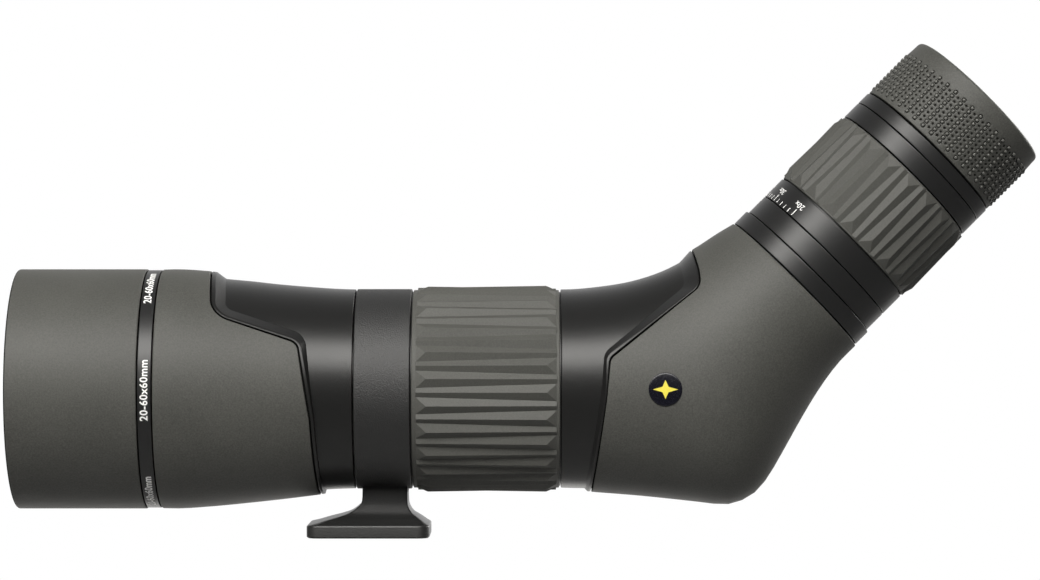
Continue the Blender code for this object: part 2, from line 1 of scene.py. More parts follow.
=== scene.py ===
"""Angled spotting scope: the looks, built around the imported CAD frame.

Shapes are worked out in millimetres, in the frame of the CAD, and scaled by MM when a mesh is made.
"""
import math

import bmesh
import bpy
import numpy as np
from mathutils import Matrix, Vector


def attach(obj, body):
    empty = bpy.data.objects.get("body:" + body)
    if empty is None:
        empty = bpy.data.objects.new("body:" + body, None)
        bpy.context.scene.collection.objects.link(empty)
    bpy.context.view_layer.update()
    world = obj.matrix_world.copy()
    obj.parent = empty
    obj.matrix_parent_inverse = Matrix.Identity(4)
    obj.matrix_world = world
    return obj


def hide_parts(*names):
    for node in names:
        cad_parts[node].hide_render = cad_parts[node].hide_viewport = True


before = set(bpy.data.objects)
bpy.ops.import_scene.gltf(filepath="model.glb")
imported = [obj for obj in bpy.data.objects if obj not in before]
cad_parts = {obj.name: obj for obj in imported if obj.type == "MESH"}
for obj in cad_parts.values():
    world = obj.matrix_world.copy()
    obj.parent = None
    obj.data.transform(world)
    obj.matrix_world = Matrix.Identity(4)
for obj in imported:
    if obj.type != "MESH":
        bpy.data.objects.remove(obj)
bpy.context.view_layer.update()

MM = 0.001
AXIS_Z = 46.6  # objective axis above the foot
FOLD_X = 101.85  # where the two axes meet
TUBE_R = 38.0
BARREL_R = 31.6
GROOVE = 0.56  # width of the dark line between armour and metal
GROOVE_FRONT, GROOVE_REAR = slice(11, 13), slice(36, 38)  # its floor's points along each casting's columns


# --- Frames: origin, axis, the direction called top, and the side that faces the camera ---
class Axis:
    """Points at (station, radius, turn) about an axis. Turn runs from the top towards the near side."""

    def __init__(self, origin, along, top):
        self.origin, self.along, self.top = (np.array(v, float) for v in (origin, along, top))
        self.side = np.cross(self.along, self.top)

    def point(self, station, radius, degrees):
        station, radius, degrees = np.broadcast_arrays(station, radius, degrees)
        turn = np.radians(degrees)[..., None]
        out = np.cos(turn) * self.top + np.sin(turn) * self.side
        return self.origin + station[..., None] * self.along + radius[..., None] * out


HALF = math.sqrt(0.5)
OPTICAL = Axis((0, 0, AXIS_Z), (1, 0, 0), (0, 0, 1))
EYEPIECE = Axis((FOLD_X, 0, AXIS_Z), (HALF, 0, HALF), (-HALF, 0, HALF))


# --- Materials ---
class Tree:
    """A node tree, with short calls for adding to it."""

    def __init__(self, tree):
        self.tree = tree

    def add(self, kind, **settings):
        node = self.tree.nodes.new(kind)
        for name, value in settings.items():
            setattr(node, name, value)
        return node

    def link(self, source, target):
        self.tree.links.new(source, target)

    def math(self, operation, first, second):
        node = self.add("ShaderNodeMath", operation=operation)
        for socket, value in zip(node.inputs, (first, second)):
            if isinstance(value, (int, float)):
                socket.default_value = value
            else:
                self.link(value, socket)
        return node.outputs["Value"]


class Nodes(Tree):
    """A new material's nodes."""

    def __init__(self, name):
        self.material = bpy.data.materials.new(name)
        self.material.use_nodes = True
        super().__init__(self.material.node_tree)
        self.shader = next(n for n in self.tree.nodes if n.type == "BSDF_PRINCIPLED")
        self.coordinates = self.add("ShaderNodeTexCoord").outputs["Object"]

    def noise(self, size, detail=2.0, roughness=0.5):
        """Noise with features of about this size in millimetres."""
        node = self.add("ShaderNodeTexNoise")
        node.inputs["Scale"].default_value = 1 / (size * MM)
        node.inputs["Detail"].default_value = detail
        node.inputs["Roughness"].default_value = roughness
        self.link(self.coordinates, node.inputs["Vector"])
        return node.outputs["Fac"]

    def spread(self, value, low, high):
        """Maps the middle of a noise's values to the range from low to high."""
        node = self.add("ShaderNodeMapRange")
        for socket, number in zip(("From Min", "From Max", "To Min", "To Max"), (0.3, 0.7, low, high)):
            node.inputs[socket].default_value = number
        self.link(value, node.inputs["Value"])
        return node.outputs["Result"]

    def ramp(self, value, stops):
        """Maps a noise's values to a blend of two colours, each given with its position."""
        node = self.add("ShaderNodeValToRGB")
        for element, (position, colour) in zip(node.color_ramp.elements, stops):
            element.position = position
            element.color = (*colour, 1)
        self.link(value, node.inputs["Fac"])
        return node.outputs["Color"]

    def bump(self, height, depth):
        """A bump of this depth in millimetres."""
        node = self.add("ShaderNodeBump")
        node.inputs["Strength"].default_value = 1.0
        node.inputs["Distance"].default_value = depth * MM
        self.link(height, node.inputs["Height"])
        self.link(node.outputs["Normal"], self.shader.inputs["Normal"])

    def set(self, **values):
        """Sets the shader's sockets, each to a number, a colour or another node's output."""
        for name, value in values.items():
            socket = self.shader.inputs[name.replace("_", " ")]
            if hasattr(value, "is_linked"):
                self.link(value, socket)
            else:
                socket.default_value = value


def tinted(base, change):
    return tuple(c * change for c in base)


def coated(name, base, roughness, grain, depth, variation, specular=0.5, ior=1.5):
    """A grained, slightly mottled coat: paint, rubber or anodising. Grain and depth are in millimetres."""
    nodes = Nodes(name)
    fine = nodes.noise(grain, 3.0, 0.6)
    broad = nodes.noise(grain * 45, 3.0)
    mixed = nodes.math("ADD", nodes.math("MULTIPLY", fine, 0.8), nodes.math("MULTIPLY", broad, 0.2))
    colour = nodes.ramp(
        mixed, [(0.35, tinted(base, 1 - variation)), (0.65, tinted(base, 1 + variation))])
    nodes.set(
        Base_Color=colour, Roughness=nodes.spread(fine, roughness - 0.04, roughness + 0.04),
        Specular_IOR_Level=specular, IOR=ior)
    nodes.bump(fine, depth)
    return nodes.material


def machined(name, base, roughness):
    """Turned metal: fine tool marks over a mottled colour."""
    nodes = Nodes(name)
    marks = nodes.noise(0.25, 4.0, 0.7)
    nodes.set(
        Base_Color=nodes.ramp(marks, [(0.3, tinted(base, 0.9)), (0.7, tinted(base, 1.08))]),
        Roughness=nodes.spread(marks, roughness - 0.06, roughness + 0.08), Metallic=1.0)
    nodes.bump(marks, 0.01)
    return nodes.material


def glass(name, tint, coat):
    """Coated optical glass: clear, with a faint coloured reflection."""
    nodes = Nodes(name)
    haze = nodes.noise(6.0)
    nodes.set(
        Base_Color=nodes.ramp(haze, [(0.3, tinted(tint, 0.97)), (0.7, tint)]),
        Roughness=nodes.spread(haze, 0.02, 0.05), IOR=1.52, Transmission_Weight=0.9,
        Coat_Weight=0.6, Coat_Roughness=0.03, Coat_Tint=(*coat, 1))
    return nodes.material


OLIVE = (0.0725, 0.0725, 0.0655)
LOOKS = {  # coated: name, colour, roughness, grain, depth, variation, specular, ior
    "olive": coated("olive_rubber", OLIVE, 0.58, 0.48, 0.03, 0.26),
    # painted shade: a darker olive for the hollows round the eyecup's nubs and its pits
    "recess": coated("olive_painted_recess_shade", tinted(OLIVE, 0.27), 0.8, 0.5, 0.03, 0.15, 0.1),
    "grip": coated("grip_rubber", tinted(OLIVE, 1.08), 0.62, 0.5, 0.02, 0.15, 0.55),
    # painted highlight: a lighter, glossier olive for the tops of the eyecup's nubs
    "nub": coated("olive_nub_tops_painted_highlight", tinted(OLIVE, 1.5), 0.42, 0.5, 0.01, 0.15, 0.7),
    "barrel": coated("black_barrel_paint", (0.013, 0.013, 0.0128), 0.34, 0.45, 0.02, 0.1, 0.45),
    "collar": coated("black_collar_paint", (0.005, 0.005, 0.0049), 0.56, 0.45, 0.16, 0.3, 0.95),
    "foot": coated("black_foot_paint", (0.0092, 0.0092, 0.0091), 0.6, 0.5, 0.08, 0.2, 0.8),
    # painted shade: a darker black for the foot's neck and flare under the collar
    "pedestal": coated("black_pedestal_painted_shade", (0.0055, 0.0055, 0.0054), 0.62, 0.5, 0.08, 0.2, 0.53),
    # painted highlight: a lighter, smoother black along the plate's rounded top edge
    "edge": coated("black_edge_painted_highlight", (0.02, 0.02, 0.0198), 0.4, 0.5, 0.02, 0.2, 0.8),
    # painted sheen: a lighter, glossier black for the foot's faces towards its ends
    "flank_sheen": coated("black_foot_sides_painted_sheen", (0.02, 0.02, 0.0198), 0.36, 0.5, 0.02, 0.2, 1.0, 1.75),
    "anodised": coated("black_anodised", (0.016, 0.016, 0.0162), 0.36, 0.25, 0.004, 0.08),
    "lining": coated("matt_black_lining", (0.008, 0.008, 0.008), 0.85, 0.5, 0.02, 0.1, 0.2),
    "seal": coated("moulded_black_rubber", (0.012, 0.012, 0.012), 0.6, 0.6, 0.02, 0.1),
    "nylon": coated("natural_nylon", (0.6, 0.57, 0.49), 0.45, 0.8, 0.01, 0.04),
    "brass": machined("machined_brass", (0.62, 0.42, 0.15), 0.3),
    "steel": machined("machined_steel", (0.5, 0.5, 0.5), 0.3),
    "glass": glass("coated_glass", (0.93, 0.97, 0.94), (0.5, 0.85, 0.65)),
    "ink": coated("white_ink", (0.93, 0.93, 0.92), 0.5, 0.3, 0.004, 0.03),
    "enamel": coated("dark_enamel", (0.006, 0.006, 0.011), 0.25, 0.5, 0.002, 0.1),
    "yellow": coated("yellow_enamel", (0.9, 0.78, 0.1), 0.35, 0.4, 0.004, 0.05),
}


# --- Mesh helpers ---
def plain_object(name, data):
    obj = bpy.data.objects.new(name, data)
    bpy.context.scene.collection.objects.link(obj)
    return obj


def made_mesh(name, bm):
    """A new mesh of this name from bm, which is freed."""
    mesh = bpy.data.meshes.new(name)
    bm.to_mesh(mesh)
    bm.free()
    return mesh


def finish_mesh(name, mesh, looks, body, nodes=(), sharp=30.0):
    """Makes the piece, smooths it up to the sharp angle, and says what it rides on and stands for."""
    obj = plain_object(name, mesh)
    for look in [looks] if isinstance(looks, str) else looks:
        mesh.materials.append(LOOKS[look])
    mesh.polygons.foreach_set("use_smooth", [True] * len(mesh.polygons))
    mesh.set_sharp_from_angle(angle=math.radians(sharp))
    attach(obj, body)
    if nodes:
        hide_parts(*nodes)
    return obj


WELD, SLIVER = 0.0008, 0.0005  # points this near are one, and a face this narrow is none


def outward(mesh, fill=False):
    """Welds points that meet, drops faces with no area, fills holes if told to, and turns faces outwards."""
    bm = bmesh.new()
    bm.from_mesh(mesh)
    bmesh.ops.remove_doubles(bm, verts=bm.verts, dist=WELD * MM)
    bmesh.ops.dissolve_degenerate(bm, edges=bm.edges, dist=SLIVER * MM)
    if fill:
        bmesh.ops.holes_fill(bm, edges=[e for e in bm.edges if e.is_boundary])
    bmesh.ops.recalc_face_normals(bm, faces=bm.faces)
    if bm.calc_volume(signed=True) < 0:
        bmesh.ops.reverse_faces(bm, faces=bm.faces)
    bm.to_mesh(mesh)
    bm.free()
    return mesh


def grid_mesh(name, points, kinds=None, looped=True):
    """Quads through an array of points, (around, along, 3), that joins up around, and along if it is looped.
    kinds is each point's material, for all or for each point along; a face takes its second highest."""
    points = np.asarray(points, float)
    around, along = points.shape[:2]
    index = np.arange(around * along).reshape(around, along)
    across = np.roll(index, -1, 0)
    quads = np.stack([index, across, np.roll(across, -1, 1), np.roll(index, -1, 1)], -1)
    if not looped:
        quads = quads[:, :-1]
    mesh = bpy.data.meshes.new(name)
    mesh.from_pydata((points.reshape(-1, 3) * MM).tolist(), [], quads.reshape(-1, 4).tolist())
    if kinds is not None:
        kinds = np.broadcast_to(kinds, (around, along)).reshape(-1)[quads.reshape(-1, 4)]
        mesh.polygons.foreach_set("material_index", np.sort(kinds, 1)[:, 2].astype(np.int32))
    return outward(mesh)


def unit(vector):
    return vector / np.linalg.norm(vector)


def rounded(corners, steps=5, closed=True, support=0.25):
    """A line through (a, b[, rounding]) corners, with a point on the straight on each side of a rounding."""
    found = []
    count = len(corners)
    for i, corner in enumerate(corners):
        here = np.array(corner[:2], float)
        radius = corner[2] if len(corner) > 2 else 0
        if not radius or (not closed and i in (0, count - 1)):
            found.append(here)
            continue
        before, after = (np.array(corners[(i + step) % count][:2], float) for step in (-1, 1))
        one, two = unit(before - here), unit(after - here)
        half = 0.5 * math.acos(np.clip(one @ two, -1, 1))
        reach = radius / math.tan(half)
        centre = here + unit(one + two) * radius / math.sin(half)
        start, end = here + one * reach - centre, here + two * reach - centre
        span = math.pi - 2 * half
        if support:
            found.append(here + one * (reach + min(support, 0.3 * np.linalg.norm(before - here))))
        for k in range(steps + 1):
            t = k / steps
            found.append(centre + (
                math.sin((1 - t) * span) * start + math.sin(t * span) * end) / math.sin(span))
        if support:
            found.append(here + two * (reach + min(support, 0.3 * np.linalg.norm(after - here))))
    return np.array(found)


def arc(centre, radius, start, end, count):
    """Points on a circle from one angle to another, in degrees."""
    turns = np.radians(np.linspace(start, end, count))
    return [(centre[0] + radius * math.cos(t), centre[1] + radius * math.sin(t)) for t in turns]


def turned(name, profile, axis, segments, kinds=None, looped=True):
    """A mesh of a profile of (station, radius) points, turned about an axis."""
    profile = np.asarray(profile, float)
    turns = np.arange(segments)[:, None] * 360 / segments
    return grid_mesh(name, axis.point(profile[:, 0], profile[:, 1], turns), kinds, looped)


def revolved(name, corners, axis, body, node, look="anodised", segments=144):
    """A piece turned from a closed profile of (station, radius[, rounding]) corners."""
    finish_mesh(name, turned(name, rounded(corners), axis, segments), look, body, [node])


def ring(name, start, end, inner, outer, axis, node, edge):
    corners = [(start, inner), (start, outer, edge), (end, outer, edge), (end, inner)]
    revolved(name, corners, axis, "scope", node)


def sampled(corners, pieces):
    """A line through corners: each straight is cut into its number of pieces, each rounding into steps."""
    steps = 10
    line = rounded(corners, steps, closed=False, support=0)
    found = [line[0]]
    place = 0
    for i, corner in enumerate(corners):
        if i:
            start, end, count = line[place], line[place + 1], pieces[i - 1]
            found += [start + (end - start) * (k + 1) / count for k in range(count)]
            place += 1
        if 0 < i < len(corners) - 1 and len(corner) > 2:
            found += list(line[place + 1:place + 1 + steps])
            place += steps
    return np.array(found)


def mirrored(columns):
    """Columns from the top round the near side to the bottom, and back up the far side."""
    return np.concatenate([columns, columns[1:-1][::-1] * (1, -1, 1)])


def stepping(first, second, wide):
    """Reads the pair of numbers so many millimetres from first towards second, which are wide apart."""
    def at(mm):
        share = mm / wide
        return first[0] + (second[0] - first[0]) * share, first[1] + (second[1] - first[1]) * share

    return at


# --- Objective end ---
def make_hood():
    front, rear, inner, lip = -111.3, -70.4, 35.6, 34.7
    corners = [
        (front, 37.0, 0.5), (front, TUBE_R, 0.7), (rear, TUBE_R, 0.35), (rear, lip, 0.15),
        (rear - 2, lip, 0.15), (rear - 2, inner),
    ]
    # Anti-glare threads inside, behind a plain lip.
    pitch, depth = 1.1, 0.42
    station = rear - 4
    while station > front + 7:
        corners += [(station, inner), (station - pitch / 2, inner + depth), (station - pitch, inner)]
        station -= pitch
    corners += [
        (front + 4.4, inner), (front + 4.0, inner + 0.45, 0.1), (front + 0.6, inner + 0.5, 0.2),
        (front + 0.1, 36.6, 0.15),
    ]
    profile = rounded(corners, 4)
    # Only the outside is olive: the inside is lined, and the front face and the front of the outer rounding
    # are lined too, a painted shade along the front lip.
    lip_painted_shade_to, lined_radius = front + 0.25, 36.9
    outside = (profile[:, 0] > lip_painted_shade_to) & (profile[:, 1] > lined_radius)
    mesh = turned("hood_shell", profile, OPTICAL, 180, ~outside)
    finish_mesh("hood_shell", mesh, ["olive", "lining"], "hood", ["sun_hood"])


def lens(name, axis, front, rear, radius, bulges, node):
    """A lens with a ground edge; a bulge is how far each face stands out at the middle."""
    rings = np.linspace(0, 1, 9)
    near = [(front - bulges[0] * (1 - r * r), radius * r) for r in rings]
    far = [(rear + bulges[1] * (1 - r * r), radius * r) for r in rings[::-1]]
    mesh = turned(name, near + far, axis, 96, looped=False)
    finish_mesh(name, mesh, "glass", "scope", [node])


NAME_RING_R = 37.72


def make_objective():
    ring("name_band", -70.0, -65.8, 34.6, NAME_RING_R, OPTICAL, "name_ring", 0.22)
    inked("aperture_marks", "scope", [
        (text_mesh("20-60x60mm", 3.4, 0.022), on_ring(OPTICAL, -67.9, 89.2 + 60 * repeat, NAME_RING_R))
        for repeat in range(6)])
    tube = [
        (-106.0, 32.6, 0.2), (-106.0, 34.3, 0.3), (-65.6, 34.3), (-65.6, 33.3), (-52.0, 33.3),
        (-52.0, 30.6), (-84.2, 30.6), (-84.2, 32.2), (-104.9, 32.2), (-105.4, 32.5, 0.1),
    ]
    revolved("objective_sleeve", tube, OPTICAL, "scope", "objective_tube")
    retainer = [
        (-102.6, 30.9), (-102.6, 29.9, 0.1), (-101.7, 29.6, 0.1), (-101.4, 29.9), (-101.0, 29.6),
        (-100.6, 29.9), (-100.2, 29.6), (-99.0, 29.6), (-99.0, 30.9),
    ]
    revolved("objective_retaining_ring", retainer, OPTICAL, "scope", "objective_retainer", "lining")
    lens("objective_front_lens", OPTICAL, -98.4, -95.5, 30.9, (4.4, 3.4), "objective_crown_lens")


# --- Front barrel and its armour ---
BARREL_FROM, BARREL_TO = -65.1, -4.3
# (station, radius) along the armour, and along the barrel under it and behind it
ARMOUR_SIDE = [
    (-65.4, 37.9), (-61.0, 38.0), (-50.7, 37.4), (-38.0, 36.2), (-22.0, 34.4), (-14.0, 33.4), (-12.0, 33.2),
]
BARREL_SIDE = [
    (BARREL_FROM, 36.1), (-50.6, 35.5), (-44.7, 34.85), (-38.0, 34.25), (-28.5, 33.2), (-19.0, 32.4),
    (-9.4, 31.75), (BARREL_TO, BARREL_R),
]


def smooth_reader(pairs):
    """Reads a smooth curve through (position, value) pairs, at any array of positions."""
    x, y = np.array(pairs).T
    slope = np.gradient(y, x)

    def read(at):
        at = np.clip(at, x[0], x[-1])
        i = np.clip(np.searchsorted(x, at, "right") - 1, 0, len(x) - 2)
        width = x[i + 1] - x[i]
        t = (at - x[i]) / width
        return (
            (2 * t**3 - 3 * t**2 + 1) * y[i] + (t**3 - 2 * t**2 + t) * width * slope[i]
            + (3 * t**2 - 2 * t**3) * y[i + 1] + (t**3 - t**2) * width * slope[i + 1])

    return read


armour_radius, barrel_radius = smooth_reader(ARMOUR_SIDE), smooth_reader(BARREL_SIDE)
ARC = 0.62  # millimetres of surface to a degree round the barrel, to draw its cut flat
# The cut's edge and the foot of the bevel beside it: (x, degrees from the top, rounding in mm). The flat
# land between the two is as wide as FRONT_LAND says at some degrees, in mm.
FRONT_CUT = [(-50.5, 0), (-48.4, 50.1, 9.0), (-21.4, 64.2, 3.7), (-17.5, 105), (-16.1, 150), (-15.5, 180)]
FRONT_FOOT = [(-45.7, 0), (-43.85, 42.5, 3.8), (-18.95, 57.0, 7.0), (-15.8, 106), (-14.4, 150), (-13.6, 180)]
FRONT_LAND = [(0, 1.25), (40, 1.15), (52, 0.95), (60, 0.9), (66, 0.95), (90, 0.95), (180, 0.9)]
FRONT_STEPS = (22, 22, 24, 20, 14)


def cut_line(corners):
    """(x, degrees) columns along a cut, from the top to the bottom."""
    flat = [(c[0], c[1] * ARC, *c[2:]) for c in corners]
    line = sampled(flat, FRONT_STEPS)
    return np.stack([line[:, 0], line[:, 1] / ARC], -1)


LAND_EDGE = 0.32  # rounding of the metal edge beside the dark line
ARMOUR_SOFT = 0.2  # rounding of the rubber's edge on the other side of it
BEVEL_SHARES = (0.0, 0.04, 0.2, 0.4, 0.6, 0.8)  # where points lie down the bevel, before its last two


def edge_rounding(radius):
    """(sideways, down) steps of a quarter-round edge, from its top."""
    return arc((0, radius), radius, -90, 0, 6)


def finish_casting(name, points, groove, node):
    """A painted casting with a dark groove along these points of its columns."""
    kinds = np.zeros(points.shape[1])
    kinds[groove] = 1
    mesh = grid_mesh(name, points, kinds)
    finish_mesh(name, mesh, ["barrel", "lining"], "scope", [node], 28)


def finish_armour(name, points, node):
    finish_mesh(name, grid_mesh(name, points), "olive", "scope", [node], 28)


def make_front_body():
    cut, foot = cut_line(FRONT_CUT), cut_line(FRONT_FOOT)
    width = np.hypot(foot[:, 0] - cut[:, 0], (foot[:, 1] - cut[:, 1]) * ARC)
    land = np.interp(cut[:, 1], *zip(*FRONT_LAND))

    # Metal barrel: under the armour, across the groove, up to the land, down the bevel, along to the neck.
    columns = []
    for (cut_x, cut_turn), (foot_x, foot_turn), wide, flat in zip(cut, foot, width, land):
        across = stepping((cut_x, cut_turn), (foot_x, foot_turn), wide)

        def under_armour(mm, sink):
            x, turn = across(mm)
            return x, turn, armour_radius(x) - sink

        column = [(x, cut_turn, barrel_radius(x)) for x in np.linspace(BARREL_FROM, cut_x, 12)]
        x, turn = across(GROOVE)
        column.append((x, turn, barrel_radius(x)))
        for side, drop in reversed(edge_rounding(LAND_EDGE)):
            column.append(under_armour(GROOVE + LAND_EDGE - side, 0.06 + drop))
        column.append(under_armour(GROOVE + LAND_EDGE + 0.06, 0.06))
        column.append(under_armour(GROOVE + flat - 0.16, 0.08))
        start = GROOVE + flat
        top, low = under_armour(start, 0.1)[2], barrel_radius(foot_x)
        for share in (*BEVEL_SHARES, 0.95, 1.0):
            x, turn = across(start + (wide - start) * share)
            drop = share + 0.02 * math.sin(share * math.pi)
            column.append((x, turn, top + (low - top) * drop))
        for share in np.concatenate([[0.012], np.linspace(0.05, 0.985, 14)]):
            x = foot_x + (BARREL_TO - foot_x) * share
            column.append((x, foot_turn, barrel_radius(x)))
        column += [(BARREL_TO - 0.12, foot_turn, BARREL_R), (BARREL_TO, foot_turn, BARREL_R - 0.12)]
        columns.append([OPTICAL.point(x, r, turn) for x, turn, r in column])
    columns = np.array(columns)
    # The neck under the collar and the focus ring, and the bore.
    neck = [
        (BARREL_TO, 29.5), (BARREL_TO, 27.7), (15.5, 27.7), (15.5, 26.6), (17.3, 26.6), (17.3, 27.7),
        (57.0, 27.7), (57.0, 26.6), (58.8, 26.6), (58.8, 27.7), (60.4, 27.7), (60.4, 26.9), (69.8, 26.9),
        (69.8, 25.6), (-6.3, 25.6), (-50.0, 31.4), (-50.0, 33.6), (BARREL_FROM, 33.6),
    ]
    hidden = np.array([[OPTICAL.point(x, r, turn) for x, r in neck] for turn in foot[:, 1]])
    points = mirrored(np.concatenate([columns, hidden], axis=1))
    finish_casting("barrel_casting", points, GROOVE_FRONT, "front_barrel")

    # Rubber armour, with a rounded edge along the cut.
    front, edge, lining = -65.4, 0.35, 0.3  # its end, that end's rounding, and its rise above the barrel
    end = [(front, 36.7), (front, 37.3), *arc((front + edge, 37.55), edge, 180, 90, 5), (-64.8, 37.92)]
    columns = []
    for (cut_x, cut_turn), (foot_x, foot_turn), wide in zip(cut, foot, width):
        # The edge goes back from the cut, away from the foot, so that it stays square to the line of the cut.
        across = stepping((cut_x, cut_turn), (foot_x, foot_turn), wide)
        column = [(x, cut_turn, r) for x, r in end]
        last = cut_x - ARMOUR_SOFT - 0.25
        column += [(x, cut_turn, armour_radius(x)) for x in np.linspace(-64.2, last, 14)]
        for side, drop in edge_rounding(ARMOUR_SOFT):
            x, turn = across(side - ARMOUR_SOFT)
            column.append((x, turn, armour_radius(x) - drop))
        column.append((cut_x, cut_turn, barrel_radius(cut_x) + lining))
        column += [(x, cut_turn, barrel_radius(x) + lining) for x in np.linspace(cut_x - 0.8, -65.0, 8)]
        columns.append([OPTICAL.point(x, r, turn) for x, turn, r in column])
    finish_armour("armour_front", mirrored(np.array(columns)), "front_armour")


# --- Prism housing and its armour ---
PIVOT = (60.6, 154.3)  # the housing's sections fan out about this point
# Side-view (x, z) outlines
HOUSING_TOP = [
    (60.7, 78.2), (73.2, 79.1), (82.8, 80.7), (89.1, 82.5), (95.5, 85.1), (98.5, 86.7), (107, 91.8),
    (117.3, 98),
]
HOUSING_BOTTOM = [
    (60.7, 15.2), (72, 14.9), (90, 14.1), (106, 12.5), (113, 12.1), (119.7, 14.8), (124.7, 20.5),
    (130, 29.2), (137, 41), (145, 52.8), (153.2, 62.2),
]
ARMOUR_TOP = [
    (60.7, 79.9), (73.2, 80.9), (82.8, 82.5), (91.8, 85.5), (102.5, 90.8), (111.4, 96.5), (115.9, 99.2),
]
ARMOUR_BOTTOM = [
    (60.7, 14.6), (70.9, 13.8), (89.1, 12.3), (105, 10.6), (111.4, 9.9), (114.6, 10), (117.7, 10.9),
    (120.9, 12.5), (124.1, 15.3), (127.3, 19.8), (130.5, 25.3), (136.8, 36.6), (143.2, 47.1),
    (149.5, 55.4), (154.6, 60.5),
]
HALF_WIDTH = [(0, 31.4), (14, 31.9), (26, 31.3), (36, 28.6), (45, 25.4)]  # (degrees of bend, mm)
ARMOUR_STEP = 1.7  # the armour stands this much out of the housing
BEND_START, BEND_END = 0.06, 44.9  # degrees


def round_pivot(x, z):
    """(angle of the bend, distance from the pivot) of a point of the side view."""
    across, down = x - PIVOT[0], PIVOT[1] - z
    return math.degrees(math.atan2(across, down)), math.hypot(across, down)


class Bend:
    """The skin of a bent tube between two side outlines. Turn runs from the inside of the bend."""

    def __init__(self, top, bottom, widen):
        self.near, self.far = (smooth_reader([round_pivot(*p) for p in line]) for line in (top, bottom))
        self.half, self.widen = smooth_reader(HALF_WIDTH), widen

    def point(self, angle, degrees, sink=0.0):
        angle, degrees, sink = np.broadcast_arrays(angle, degrees, sink)
        low, high = self.near(angle) + sink, self.far(angle) - sink
        half = self.half(angle) + self.widen - sink
        turn, tilt = np.radians(degrees), np.radians(angle)
        out = (low + high) / 2 - (high - low) / 2 * np.cos(turn)
        return np.stack([
            PIVOT[0] + out * np.sin(tilt), -half * np.sin(turn), PIVOT[1] - out * np.cos(tilt),
        ], -1)

    def place(self, x, z):
        """(angle, turn) on the near side of the skin, of a point in the side view."""
        angle, out = round_pivot(x, z)
        low, high = float(self.near(angle)), float(self.far(angle))
        return angle, math.degrees(math.acos(np.clip(((low + high) / 2 - out) * 2 / (high - low), -1, 1)))


HOUSING = Bend(HOUSING_TOP, HOUSING_BOTTOM, 0.0)
ARMOUR = Bend(ARMOUR_TOP, ARMOUR_BOTTOM, ARMOUR_STEP)
# Side-view (x, z, rounding) corners of the rear armour's edge, and of the bevel's foot beside it. REAR_LAND
# is (degrees, mm) like FRONT_LAND.
REAR_CUT = [(102.4, 91.0), (103.9, 84.5), (104.3, 79.4, 4.6), (75.9, 56.7, 3.4), (74.7, 44.0), (70.5, 13.4)]
REAR_FOOT = [(98.3, 87.2), (99.0, 82.0), (99.2, 79.2, 3.4), (73.9, 58.6, 4.6), (73.2, 48.7), (68.3, 14.4)]
REAR_STEPS = (8, 8, 26, 16, 40)
REAR_LAND = [(0, 0.5), (30, 0.5), (50, 0.75), (70, 1.15), (90, 1.3), (120, 1.2), (180, 0.9)]


def side_line(corners, skin):
    line = sampled(corners, REAR_STEPS)
    places = np.array([skin.place(x, z) for x, z in line])
    places[0, 1], places[-1, 1] = 0, 180
    return places


